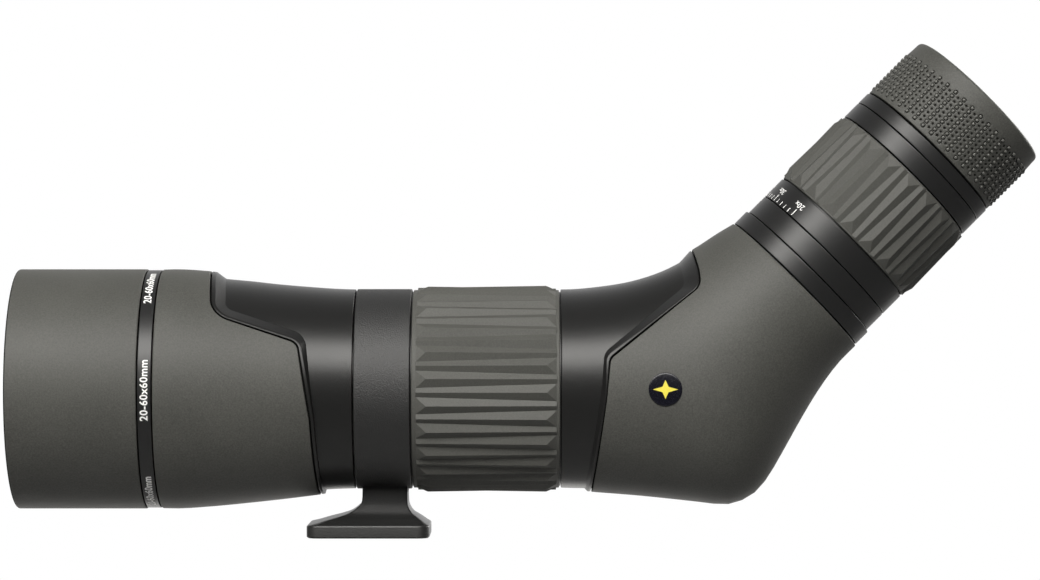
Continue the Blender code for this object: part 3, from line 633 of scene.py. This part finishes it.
def make_rear_body():
    cut, foot = side_line(REAR_CUT, ARMOUR), side_line(REAR_FOOT, HOUSING)
    on_cut = ARMOUR.point(cut[:, 0], cut[:, 1])
    on_foot = HOUSING.point(foot[:, 0], foot[:, 1])
    width = np.linalg.norm(on_cut - on_foot, axis=1)
    land = np.interp(cut[:, 1], *zip(*REAR_LAND))

    wall, lining = 2.6, -0.3  # how deep in the housing's skin its bore lies, and the armour's inside
    columns, covers = [], []
    for (cut_a, cut_t), (foot_a, foot_t), wide, flat in zip(cut, foot, width, land):
        across = stepping((cut_a, cut_t), (foot_a, foot_t), wide)
        # Metal housing: from its front end to the bevel's foot, up the bevel, over the land and the groove,
        # on under the armour, and back along the bore.
        ends = ((BEND_START, 0.25), (BEND_START + 0.02, 0.1), (BEND_START + 0.1, 0.02))
        column = [HOUSING.point(angle, foot_t, sink) for angle, sink in ends]
        for share in (*np.linspace(0.02, 0.96, 16), 0.99):
            column.append(HOUSING.point(BEND_START + (foot_a - BEND_START) * share, foot_t))
        top = ARMOUR.point(*across(GROOVE + flat), 0.1)
        low = HOUSING.point(foot_a, foot_t)
        for share in (*BEVEL_SHARES, 0.96, 1.0):
            column.append(low + (top - low) * share)
        for mm, sink in ((GROOVE + flat - 0.1, 0.07), (GROOVE + LAND_EDGE + 0.04, 0.06)):
            column.append(ARMOUR.point(*across(mm), sink))
        for side, drop in edge_rounding(LAND_EDGE):
            column.append(ARMOUR.point(*across(GROOVE + LAND_EDGE - side), 0.06 + drop))
        column.append(ARMOUR.point(*across(GROOVE), ARMOUR_STEP))
        column.append(HOUSING.point(*across(-0.1)))
        for share in np.linspace(0.1, 1, 8):
            column.append(HOUSING.point(cut_a + (BEND_END - cut_a) * share, cut_t))
        for angle in np.linspace(BEND_END, BEND_START, 8):
            turn = cut_t + (foot_t - cut_t) * (BEND_END - angle) / BEND_END
            column.append(HOUSING.point(angle, turn, wall))
        columns.append(column)

        # Rubber armour: its edge beside the groove, its skin, its rear end, and back along its lining.
        cover = [HOUSING.point(cut_a + 0.15, cut_t, lining)]
        for side, drop in reversed(edge_rounding(ARMOUR_SOFT)):
            cover.append(ARMOUR.point(*across(side - ARMOUR_SOFT), drop))
        cover.append(ARMOUR.point(*across(-ARMOUR_SOFT - 0.2)))
        a, t = across(-ARMOUR_SOFT - 0.3)
        for share in np.linspace(0.03, 0.97, 24):
            cover.append(ARMOUR.point(a + (BEND_END - 0.12 - a) * share, t))
        for before, sink in ((0.16, 0), (0.06, 0.07), (0, 0.25), (0, 1.0)):
            cover.append(ARMOUR.point(BEND_END - before, t, sink))
        for angle in np.linspace(BEND_END, cut_a + 0.4, 8):
            cover.append(HOUSING.point(angle, t, lining))
        covers.append(cover)
    finish_casting("housing_casting", mirrored(np.array(columns)), GROOVE_REAR, "prism_housing")
    finish_armour("armour_rear", mirrored(np.array(covers)), "rear_armour")


# --- Grips: ridges that are wide and tall at one end in turn ---
def ribbed_grip(name, axis, body, node, ends, lines, apexes, radii, inner, pairs, turn, bevel):
    """A ring of ridges. ends: the ring's ends. lines: where the ridges begin and end. apexes: where each
    tall end reaches its height. radii: valley, tall crest, narrow crest. turn: a first-end ridge."""
    base, tall, low = radii
    pitch = 180 / pairs
    half, thin = pitch * 0.65, pitch * 0.35  # half the width of a ridge's wide end and of its narrow end
    edge = 0.3  # rounding of the ring's ends
    facet = 13  # an angle between faces, in degrees, from which it is an edge
    bm = bmesh.new()

    def vert(station, radius, degrees):
        return bm.verts.new(Vector(axis.point(station, radius, degrees)) * MM)

    def join(one, two):
        for i in range(len(one)):
            j = (i + 1) % len(one)
            bm.faces.new((one[i], one[j], two[j], two[i]))

    first, last, tops = [], [], []
    for k in range(pairs):
        centre = turn + 2 * pitch * k
        # Along each line: the foot of one ridge, then of the next, which is narrow where the one is wide.
        first.append([vert(lines[0], base, centre + half * s) for s in (-1, -0.5, 0, 0.5, 1)])
        first[-1].append(vert(lines[0], base, centre + pitch))
        last.append([vert(lines[1], base, centre + thin * s) for s in (-1, 0, 1)])
        last[-1] += [vert(lines[1], base, centre + pitch + half * s) for s in (-0.5, 0, 0.5)]
        tops.append((
            vert(apexes[0], tall, centre), vert(lines[1], low, centre),
            vert(lines[0], low, centre + pitch), vert(apexes[1], tall, centre + pitch)))
    for k in range(pairs):
        start, end, (a_top, a_low, b_low, b_top) = first[k], last[k], tops[k]
        after_start, after_end = first[(k + 1) % pairs][0], last[(k + 1) % pairs][0]
        line = [*end[2:], after_end]
        faces = [(one, a_top, two) for one, two in zip(start, start[1:5])]
        faces += [
            (start[0], end[0], a_low, a_top), (start[4], a_top, a_low, end[2]),
            (end[0], end[1], a_low), (end[1], end[2], a_low),
            # The next ridge, tall at the last end.
            (start[4], start[5], b_low), (start[5], after_start, b_low),
            (start[4], end[2], b_top, b_low), (after_start, b_low, b_top, after_end),
        ]
        faces += [(one, two, b_top) for one, two in zip(line, line[1:])]
        for face in faces:
            bm.faces.new(face)
    rims = []
    for line, margin, sign in ((sum(first, []), ends[0], 1), (sum(last, []), ends[1], -1)):
        offsets = [np.array(vertex.co) / MM - axis.origin for vertex in line]
        degrees = [math.degrees(math.atan2(offset @ axis.side, offset @ axis.top)) for offset in offsets]
        profile = arc((margin + sign * edge, base - edge), edge, 90, 90 + 90 * sign, 4) + [(margin, inner)]
        loops = [line] + [[vert(station, radius, d) for d in degrees] for station, radius in profile]
        for one, two in zip(loops, loops[1:]):
            join(one, two)
        rims.append(loops[-1])
    join(*rims)
    mesh = outward(made_mesh(name, bm))
    obj = finish_mesh(name, mesh, "grip", body, [node], facet)
    modifier = obj.modifiers.new("edges", "BEVEL")
    modifier.width = bevel * MM
    modifier.segments = 2
    modifier.limit_method = "ANGLE"
    modifier.angle_limit = math.radians(facet)
    modifier.harden_normals = True


def make_focus():
    sleeve = [
        (13.8, 28.1), (13.8, 30.8, 0.1), (14.07, 30.8), (14.07, 29.5), (60.23, 29.5), (60.23, 30.8),
        (60.55, 30.8, 0.1), (60.55, 28.1),
    ]
    revolved("focus_sleeve", sleeve, OPTICAL, "focus", "focus_ring")
    ribbed_grip(
        "focus_ribs", OPTICAL, "focus", "focus_grip", ends=(14.1, 60.2), lines=(15.45, 59.2),
        apexes=(18.66, 56.05), radii=(31.4, 32.75, 32.1), inner=29.8, pairs=24, turn=83.1, bevel=0.1)


# --- Tripod collar ---
FOOT_SIDE = [  # (height, from x, to x, half depth, corner)
    (0, -18.9, 18.9, 15.4, 3.6), (0.45, -19.35, 19.35, 15.8, 4), (3.5, -19.35, 19.35, 15.8, 4),
    (3.72, -19.3, 19.3, 15.76, 3.96), (3.92, -19.05, 19.15, 15.63, 3.8), (4.06, -18.6, 18.95, 15.45, 3.6),
    (4.18, -18.1, 18.75, 15.22, 3.4), (4.6, -16.3, 18.05, 14.45, 2.6), (5.66, -12.7, 16.6, 12.6, 1.4),
    (6.55, -9.4, 15.3, 10.9, 0.9), (7.65, -6.1, 13.8, 9.6, 0.7), (9.45, -3.5, 12.7, 8.9, 0.6),
    (11.45, -2.1, 12.3, 8.6, 0.6), (17.2, -1.95, 12.25, 8.5, 0.6), (22, -1.95, 12.25, 8.5, 0.6),
]
FOOT_PLAIN = 8  # the rows up to the plate's rounded edge, kept as they are


def rounded_ring(z, x_from, x_to, half_depth, corner):
    """Points round a rectangle with rounded corners."""
    centres = [
        (x_to - corner, half_depth - corner), (x_from + corner, half_depth - corner),
        (x_from + corner, corner - half_depth), (x_to - corner, corner - half_depth)]
    return [
        (x, y, z) for quarter, centre in enumerate(centres)
        for x, y in arc(centre, corner, 90 * quarter, 90 * quarter + 90, 9)]


def smooth_sections(rows):
    """The foot's rows with smooth ones put in between, above its plate."""
    rows = [np.array(row, float) for row in rows]
    found = rows[:FOOT_PLAIN]
    rows = rows[FOOT_PLAIN - 2:] + [rows[-1]]
    for a, b, c, d in zip(rows, rows[1:], rows[2:], rows[3:]):
        for t in (0.25, 0.5, 0.75, 1):
            square, cube = (2 * a - 5 * b + 4 * c - d) * t**2, (3 * b - a - 3 * c + d) * t**3
            found.append(0.5 * (2 * b + (c - a) * t + square + cube))
    return found


def solid_rod(start, end, radius, axis, segments=48, edge=0.0):
    """A rod's mesh, bevelled by edge."""
    profile = [
        (start, 0.0), (start, radius - edge), (start + edge, radius), (end - edge, radius),
        (end, radius - edge), (end, 0.0)]
    return turned("rod", profile, axis, segments, looped=False)


def combine(target, mesh, operation="DIFFERENCE"):
    """Applies a Boolean of the object with a mesh."""
    other = plain_object("other", mesh)
    modifier = target.modifiers.new(operation, "BOOLEAN")
    modifier.operation, modifier.object, modifier.solver = operation, other, "EXACT"
    graph = bpy.context.evaluated_depsgraph_get()
    result = bpy.data.meshes.new_from_object(target.evaluated_get(graph))
    target.modifiers.clear()
    target.data = result
    bpy.data.objects.remove(other)


FOOT_AXIS = Axis((0, 0, 0), (0, 0, 1), (0, -1, 0))
KNOB_AXIS = Axis((4.9, 0, AXIS_Z), (0, 1, 0), (0, 0, 1))


def make_collar():
    inner, outer = 29.2, 31.7
    band = [(-3.8, inner), (-3.8, outer, 0.35), (13.6, outer, 0.35), (13.6, inner)]
    collar = plain_object("collar", turned("collar_and_foot", rounded(band), OPTICAL, 192))
    sections = np.array([rounded_ring(*s) for s in smooth_sections(FOOT_SIDE)])
    foot = outward(grid_mesh("foot", sections.transpose(1, 0, 2), looped=False), fill=True)
    combine(collar, foot, "UNION")
    combine(collar, solid_rod(30.2, 34.6, 6.0, KNOB_AXIS, 64, 0.25), "UNION")  # boss of the lock knob
    combine(collar, solid_rod(-1, 6.1, 4.6, FOOT_AXIS))  # socket
    combine(collar, solid_rod(26, 36, 2.9, KNOB_AXIS))  # stud hole
    combine(collar, solid_rod(-10, 20, inner, OPTICAL, 192))  # bore
    mesh = collar.data
    bpy.data.objects.remove(collar)
    # The plate's rounded top edge is a lighter, smoother black, a painted highlight; the faces towards the
    # foot's ends are a lighter, smoother black, a painted sheen; the neck and flare above the plate are a
    # darker black, painted shade under the collar.
    looks = ["collar", "foot", "flank_sheen", "edge", "pedestal"]
    ring_from, highlight_from, highlight_to = AXIS_Z - 31.4, 3.6, 4.2  # heights
    for polygon in mesh.polygons:
        height = polygon.center.z / MM
        if height > ring_from:
            look = "collar"
        elif abs(polygon.normal.y) < 0.35:
            look = "flank_sheen"
        else:
            look = "foot" if height < highlight_from else "edge" if height < highlight_to else "pedestal"
        polygon.material_index = looks.index(look)
    finish_mesh("collar_and_foot", mesh, looks, "tripod_mount", ["tripod_collar"], 32)
    # Threaded insert: a helix would not show, so the thread is a stack of rings.
    crest, root, pitch = 3.2, 3.5, 0.64
    thread = [(0.15, 4.3), (0.15, root, 0.1)]
    station = 0.5
    while station < 5.3:
        thread += [(station, crest), (station + pitch / 2, root)]
        station += pitch
    thread += [(5.8, root), (5.8, 4.3)]
    revolved("screw_insert", thread, FOOT_AXIS, "tripod_mount", "tripod_thread_insert", "steel", 64)


def make_lock_knob():
    segments, flutes, flute_depth, fluted = 144, 18, 0.42, (35.9, 44.3)
    turns = np.arange(segments) * 360 / segments
    flute = flute_depth * (0.5 - 0.5 * np.cos(np.radians(turns * flutes))) ** 2
    profile = rounded([
        (29.3, 0.0), (29.3, 2.4, 0.2), (35.0, 2.4), (35.0, 5.6, 0.2), (36.0, 7.4, 0.3), (43.6, 7.4, 0.5),
        (44.9, 6.4, 0.4), (45.0, 4.6, 0.2), (44.6, 4.2, 0.2), (44.6, 0.0),
    ], 4, closed=False)
    station, radius = profile.T
    cut = ((station > fluted[0]) & (station < fluted[1])) * flute[:, None]
    points = KNOB_AXIS.point(station, radius - cut, turns[:, None])
    mesh = grid_mesh("clamp_knob", points, looped=False)
    finish_mesh("clamp_knob", mesh, "collar", "lock", ["lock_knob"], 32)


# --- Eyepiece ---
EYE_RING_R = 26.35


def make_eyepiece():
    def fixed_ring(name, start, end, node, outer=EYE_RING_R, edge=0.2):
        ring(name, start, end, 23.2, outer, EYEPIECE, node, edge)

    fixed_ring("neck_collar", 47.2, 52.55, "neck_ring", 27.1, 0.25)
    fixed_ring("index_collar", 52.85, 59.85, "index_ring")
    collar = [
        (60.15, 24.5), (60.15, EYE_RING_R, 0.2), (67.85, EYE_RING_R, 0.2), (67.85, 25.0), (95.5, 25.0),
        (95.5, 24.5)]
    revolved("zoom_collar", collar, EYEPIECE, "zoom", "zoom_ring")
    fixed_ring("upper_collar", 95.95, 101.85, "top_ring")
    fixed_ring("seat_collar", 102.15, 106.3, "eyecup_seat_ring")
    ribbed_grip(
        "zoom_ribs", EYEPIECE, "zoom", "zoom_grip", ends=(68.38, 95.55), lines=(68.9, 95.1),
        apexes=(72.3, 91.9), radii=(26.3, 27.35, 26.86), inner=25.3, pairs=20, turn=84.9, bevel=0.08)
    make_scale()
    bezel = [(118.9, 14.6), (118.9, 20.9), (120.4, 20.9, 0.2), (120.4, 18.0, 0.2), (119.7, 14.6, 0.1)]
    revolved("eye_bezel", bezel, EYEPIECE, "scope", "eye_lens_bezel", "lining")
    lens("eye_glass", EYEPIECE, 111.7, 116.0, 17.0, (2.4, 1.8), "eye_lens")
    make_eyecup()


NUB_COLUMNS, NUB_ROWS, NUB_PITCH = 45, 10, 1.6
CUP_START, NUBS_START = 106.9, 108.9  # stations of the cup's lower end and of its lowest nubs


def cup_radius(station):
    """The cup's skin between its nubs."""
    return np.interp(station, [106.9, 123.6, 129.0], [26.15, 26.2, 25.95])


def make_eyecup():
    """Rubber cup with a field of raised nubs and, between them, small pits."""
    cell, girth = 360 / NUB_COLUMNS, 26.3 * math.radians(360 / NUB_COLUMNS)
    side = [0, 0.28, 0.44, 0.52, 0.6, 0.69]  # where points lie from the middle of a nub out
    rows = np.array([*side, 0.8]) / NUB_PITCH
    rows = np.concatenate([-rows[::-1][1:], rows[1:-1], [0]])
    nubs = [NUBS_START + NUB_PITCH * (k + rows) for k in range(NUB_ROWS)]
    nubs = np.unique(np.concatenate([*nubs, [NUBS_START + 15.0, NUBS_START + 15.2]]))
    half_cell = np.array([*side, 0.95, girth / 2 - 0.4, girth / 2 - 0.2, girth / 2]) / girth
    half_cell = np.unique(np.concatenate([-half_cell[:-1], half_cell]))
    turns = (np.arange(NUB_COLUMNS)[:, None] + half_cell).reshape(-1) * cell

    # Distances from the middle of the nearest nub and of the nearest pit, in millimetres.
    column = (turns / cell + 0.5) % 1 - 0.5
    across = column[:, None] * girth
    row = (nubs - NUBS_START) / NUB_PITCH
    along = (row - np.clip(np.round(row), 0, NUB_ROWS - 1)) * NUB_PITCH
    away = 0.6 * np.maximum(np.abs(along), np.abs(across)) + 0.4 * np.hypot(along, across)
    height = np.interp(away, [0, 0.28, 0.44, 0.52, 0.6, 0.68, 0.8], [0.4, 0.36, 0.26, 0.02, -0.3, -0.1, 0])
    pit_across = (column - np.sign(column + 1e-9) * 0.5)[:, None] * girth
    pit_row = row - 0.5
    pit_along = (pit_row - np.clip(np.round(pit_row), 0, NUB_ROWS - 2)) * NUB_PITCH
    pit_depth, pit_radius = 0.5, 0.6
    pit = np.clip(1 - np.hypot(pit_along, pit_across) / pit_radius, 0, 1)
    height = height - pit_depth * pit * pit * (3 - 2 * pit)

    low = [(CUP_START, 25.2), (CUP_START, 25.6), *arc((CUP_START + 0.35, 25.8), 0.35, 180, 90, 5)]
    above = nubs[-1] + 0.2
    high = [
        (above, cup_radius(above)), (126.0, 26.06), (127.0, 26.0), (128.3, 25.97),
        *arc((128.5, 24.75), 1.2, 90, 0, 8), (129.7, 24.0), (129.7, 23.0),
        *arc((129.2, 22.2), 0.5, 0, -90, 4), (128.1, 21.7), (128.1, 25.2),
    ]
    profile = np.array(low + [(t, cup_radius(t)) for t in nubs] + high)
    field = slice(len(low), len(low) + len(nubs))
    radius = np.broadcast_to(profile[:, 1], (len(turns), len(profile))).copy()
    radius[:, field] += height
    kinds = np.zeros_like(radius)
    # Painted light on the cup: the hollows round the nubs and the pits take a darker olive, painted shade,
    # and the nub tops a lighter, glossier olive, painted highlight.
    painted_shade_hollows, raised = height < -0.14, height > 0.2
    kinds[:, field] = np.where(painted_shade_hollows, 1, np.where(raised, 2, 0))
    mesh = grid_mesh("eyecup_cover", EYEPIECE.point(profile[:, 0], radius, turns[:, None]), kinds)
    looks = ["olive", "recess", "nub"]
    finish_mesh("eyecup_cover", mesh, looks, "eyecup", ["eyecup_rubber"], 45)
    sleeve = [
        (CUP_START, 24.2), (CUP_START, 24.9), (127.8, 24.9), (127.8, 22.0, 0.2), (126.5, 22.0, 0.2),
        (126.5, 24.2)]
    revolved("eyecup_barrel", sleeve, EYEPIECE, "eyecup", "eyecup_sleeve")


# --- Lettering and marks ---
def text_mesh(text, size, weight):
    """Flat letters about their middle, in millimetres, as a mesh. They are thickened by weight times size."""
    curve = bpy.data.curves.new("letters", "FONT")
    curve.body = text
    curve.size = size
    curve.align_x, curve.align_y = "CENTER", "CENTER"
    curve.resolution_u = 3
    curve.extrude = 0.05
    curve.offset = weight * size
    curve.space_character = 1.06
    obj = plain_object("letters", curve)
    bpy.context.view_layer.update()
    mesh = bpy.data.meshes.new_from_object(obj.evaluated_get(bpy.context.evaluated_depsgraph_get()))
    bpy.data.objects.remove(obj)
    bpy.data.curves.remove(curve)
    return mesh


def bar_mesh(width, length):
    """A thin flat bar about its middle, in millimetres."""
    bm = bmesh.new()
    bmesh.ops.create_cube(bm, size=1)
    for v in bm.verts:
        v.co = (v.co.x * width, v.co.y * length, v.co.z * 0.06 + 0.02)
    return made_mesh("bar", bm)


def inked(name, body, marks):
    """A piece in white ink, of flat meshes that each come with a place(across, up, out) for their points."""
    bm = bmesh.new()
    for mesh, place in marks:
        verts = [bm.verts.new(Vector(place(*v.co)) * MM) for v in mesh.vertices]
        for polygon in mesh.polygons:
            bm.faces.new([verts[i] for i in polygon.vertices])
        bpy.data.meshes.remove(mesh)
    finish_mesh(name, made_mesh(name, bm), "ink", body)


def on_ring(axis, station, turn, radius):
    """Places flat points on a ring, with their up towards lower stations."""
    def place(across, up, out):
        return axis.point(station - up, radius + out, turn - math.degrees(across / radius))

    return place


SCALE_TURN = 24.8  # degrees between the tens of magnification
SCALE_PARTS = 5  # divisions to each ten


def make_scale():
    marks = []
    for step in range(5):
        place = on_ring(EYEPIECE, 64.5, (2 - step) * SCALE_TURN - 0.6, EYE_RING_R)
        marks.append((text_mesh(f"{20 + 10 * step}x", 2.6, 0.01), place))
    for step in range(4 * SCALE_PARTS + 1):
        length = 2.4 if step % SCALE_PARTS == 0 else 1.45
        turn = 2 * SCALE_TURN - step * SCALE_TURN / SCALE_PARTS
        marks.append((bar_mesh(0.3, length), on_ring(EYEPIECE, 60.45 + length / 2, turn, EYE_RING_R)))
    inked("zoom_scale", "zoom", marks)
    inked("zoom_index", "scope", [(bar_mesh(0.5, 3.0), on_ring(EYEPIECE, 58.1, 0, EYE_RING_R))])


# --- Badge: a plain disc with a star ---
BADGE_X, BADGE_Z, BADGE_R = 92.7, 47.3, 5.2


BADGE_RISE = [  # (share of the radius, height above the armour)
    (0, 0.42), (0.3, 0.42), (0.55, 0.42), (0.75, 0.41), (0.9, 0.4), (0.955, 0.38), (0.985, 0.32), (1, 0.2),
    (1, -0.4), (0, -0.4),
]
STAR = [(3.9, 0), (0.95, 0.85), (0, 2.9), (-0.95, 0.85), (-3.9, 0), (-0.95, -0.85), (0, -2.9), (0.95, -0.85)]


def on_badge(across, up, out):
    """A point this far from the badge's middle in the side view, and this far out of the armour's skin."""
    x, z = BADGE_X + across, BADGE_Z + up
    return x, float(ARMOUR.point(*ARMOUR.place(x, z))[1]) - out, z


def make_badge():
    columns = []
    for a in np.radians(np.arange(96) * 360 / 96):
        reaches = [(BADGE_R * share, rise) for share, rise in BADGE_RISE]
        columns.append([on_badge(reach * math.cos(a), reach * math.sin(a), rise) for reach, rise in reaches])
    mesh = grid_mesh("badge_disc", columns, looped=False)
    finish_mesh("badge_disc", mesh, "enamel", "scope", ["badge"], 40)
    bm = bmesh.new()
    low, high = ([bm.verts.new(Vector(on_badge(*tip, out)) * MM) for tip in STAR] for out in (0.3, 0.52))
    bm.faces.new(low)
    bm.faces.new(high)
    for i in range(len(STAR)):
        j = (i + 1) % len(STAR)
        bm.faces.new((low[i], low[j], high[j], high[i]))
    finish_mesh("badge_star", outward(made_mesh("badge_star", bm)), "yellow", "scope")


# --- Finish for the CAD nodes that stay ---
SLOT_LOOKS = {
    "olive_rubber": "olive", "hood_shell": "olive", "black_paint": "barrel", "black_anodised": "lining",
    "coated_glass": "glass", "brass": "brass", "steel": "steel", "nylon": "nylon", "seal_rubber": "seal",
    "badge_enamel": "enamel",
}


def paint_frame():
    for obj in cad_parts.values():
        for place in obj.material_slots:
            name = place.material.name.split(".")[0] if place.material else ""
            place.material = LOOKS[SLOT_LOOKS.get(name, "lining")]
    # This brass ring shows when the eyecup is up, and is blackened like the rings beside it.
    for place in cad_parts["eyecup_guide_ring"].material_slots:
        place.material = LOOKS["lining"]


# --- Stage ---
AMBIENT, BACKDROP = 0.037, 0.85  # light from the front of the studio, and what its back adds
FLOOR_Z, FLOOR_R = -0.6, 3  # metres, as are the places below
LIGHTS = (  # name, place, size, watts
    ("key", (0.02, -1.16, 1.06), (1.6, 0.88), 6.2),
    ("side", (-1.4, -1.7, 1.55), (1.2, 1.15), 5.2),
    ("under", (0.03, 0.85, -0.45), (3.0, 0.6), 1.2),
    ("back", (1.3, 1.1, 0.7), (1.0, 1.0), 4.0),
)
AIM = Vector((0.03, 0, 0.05))


def make_world():
    """White to look at. As light it is dim in front and bright behind, like a lit backdrop."""
    world = bpy.data.worlds.new("studio")
    bpy.context.scene.world = world
    world.use_nodes = True
    world.node_tree.nodes.clear()
    nodes = Tree(world.node_tree)
    seen, around = nodes.add("ShaderNodeBackground"), nodes.add("ShaderNodeBackground")
    for shade in (seen, around):
        shade.inputs["Color"].default_value = (1, 1, 1, 1)
    parts = nodes.add("ShaderNodeSeparateXYZ")
    nodes.link(nodes.add("ShaderNodeTexCoord").outputs["Generated"], parts.inputs[0])
    value = parts.outputs["Y"]
    for operation, number in (
        ("ADD", 1.0), ("MULTIPLY", 0.5), ("POWER", 4.0), ("MULTIPLY", BACKDROP), ("ADD", AMBIENT),
    ):
        value = nodes.math(operation, value, number)
    nodes.link(value, around.inputs["Strength"])
    mix, out = nodes.add("ShaderNodeMixShader"), nodes.add("ShaderNodeOutputWorld")
    nodes.link(nodes.add("ShaderNodeLightPath").outputs["Is Camera Ray"], mix.inputs["Fac"])
    nodes.link(around.outputs[0], mix.inputs[1])
    nodes.link(seen.outputs[0], mix.inputs[2])
    nodes.link(mix.outputs[0], out.inputs["Surface"])


def make_stage():
    make_world()
    mesh = bpy.data.meshes.new("studio_floor")
    points = [(x, y, FLOOR_Z) for x, y in arc((0, 0), FLOOR_R, 0, 360, 97)[:-1]]
    mesh.from_pydata(points, [], [list(range(len(points)))])
    floor = plain_object("studio_floor", mesh)
    nodes = Nodes("pale_floor")
    colour = nodes.ramp(nodes.noise(60), [(0.3, (0.38, 0.38, 0.38)), (0.7, (0.41, 0.41, 0.41))])
    # Like the studio, the floor is pale to look at and gives the object little light.
    direct = nodes.add("ShaderNodeLightPath").outputs["Is Camera Ray"]
    nodes.set(
        Base_Color=colour, Roughness=0.8, Emission_Color=(1, 1, 1, 1),
        Emission_Strength=nodes.math("MULTIPLY", direct, 0.6))
    mesh.materials.append(nodes.material)

    for name, place, size, power in LIGHTS:
        light = bpy.data.lights.new(name, "AREA")
        light.shape = "RECTANGLE"
        light.size, light.size_y = size
        light.energy = power
        light.color = (1.0, 0.985, 0.95)
        light.spread = math.radians(70)
        obj = plain_object(name, light)
        obj.location = place
        obj.rotation_euler = (AIM - Vector(place)).to_track_quat("-Z", "Y").to_euler()


def make_camera():
    camera = bpy.data.cameras.new("camera")
    camera.lens = 125.2
    camera.sensor_width = 36
    camera.clip_start, camera.clip_end = 0.01, 50
    obj = plain_object("camera", camera)
    obj.location = (0.0478, -1.15, 0.078)
    obj.rotation_euler = (math.radians(90), 0, 0)
    bpy.context.scene.camera = obj
    bpy.context.scene.view_settings.view_transform = "Standard"


make_camera()
make_stage()
paint_frame()
make_hood()
make_objective()
make_front_body()
make_rear_body()
make_focus()
make_collar()
make_lock_knob()
make_eyepiece()
make_badge()
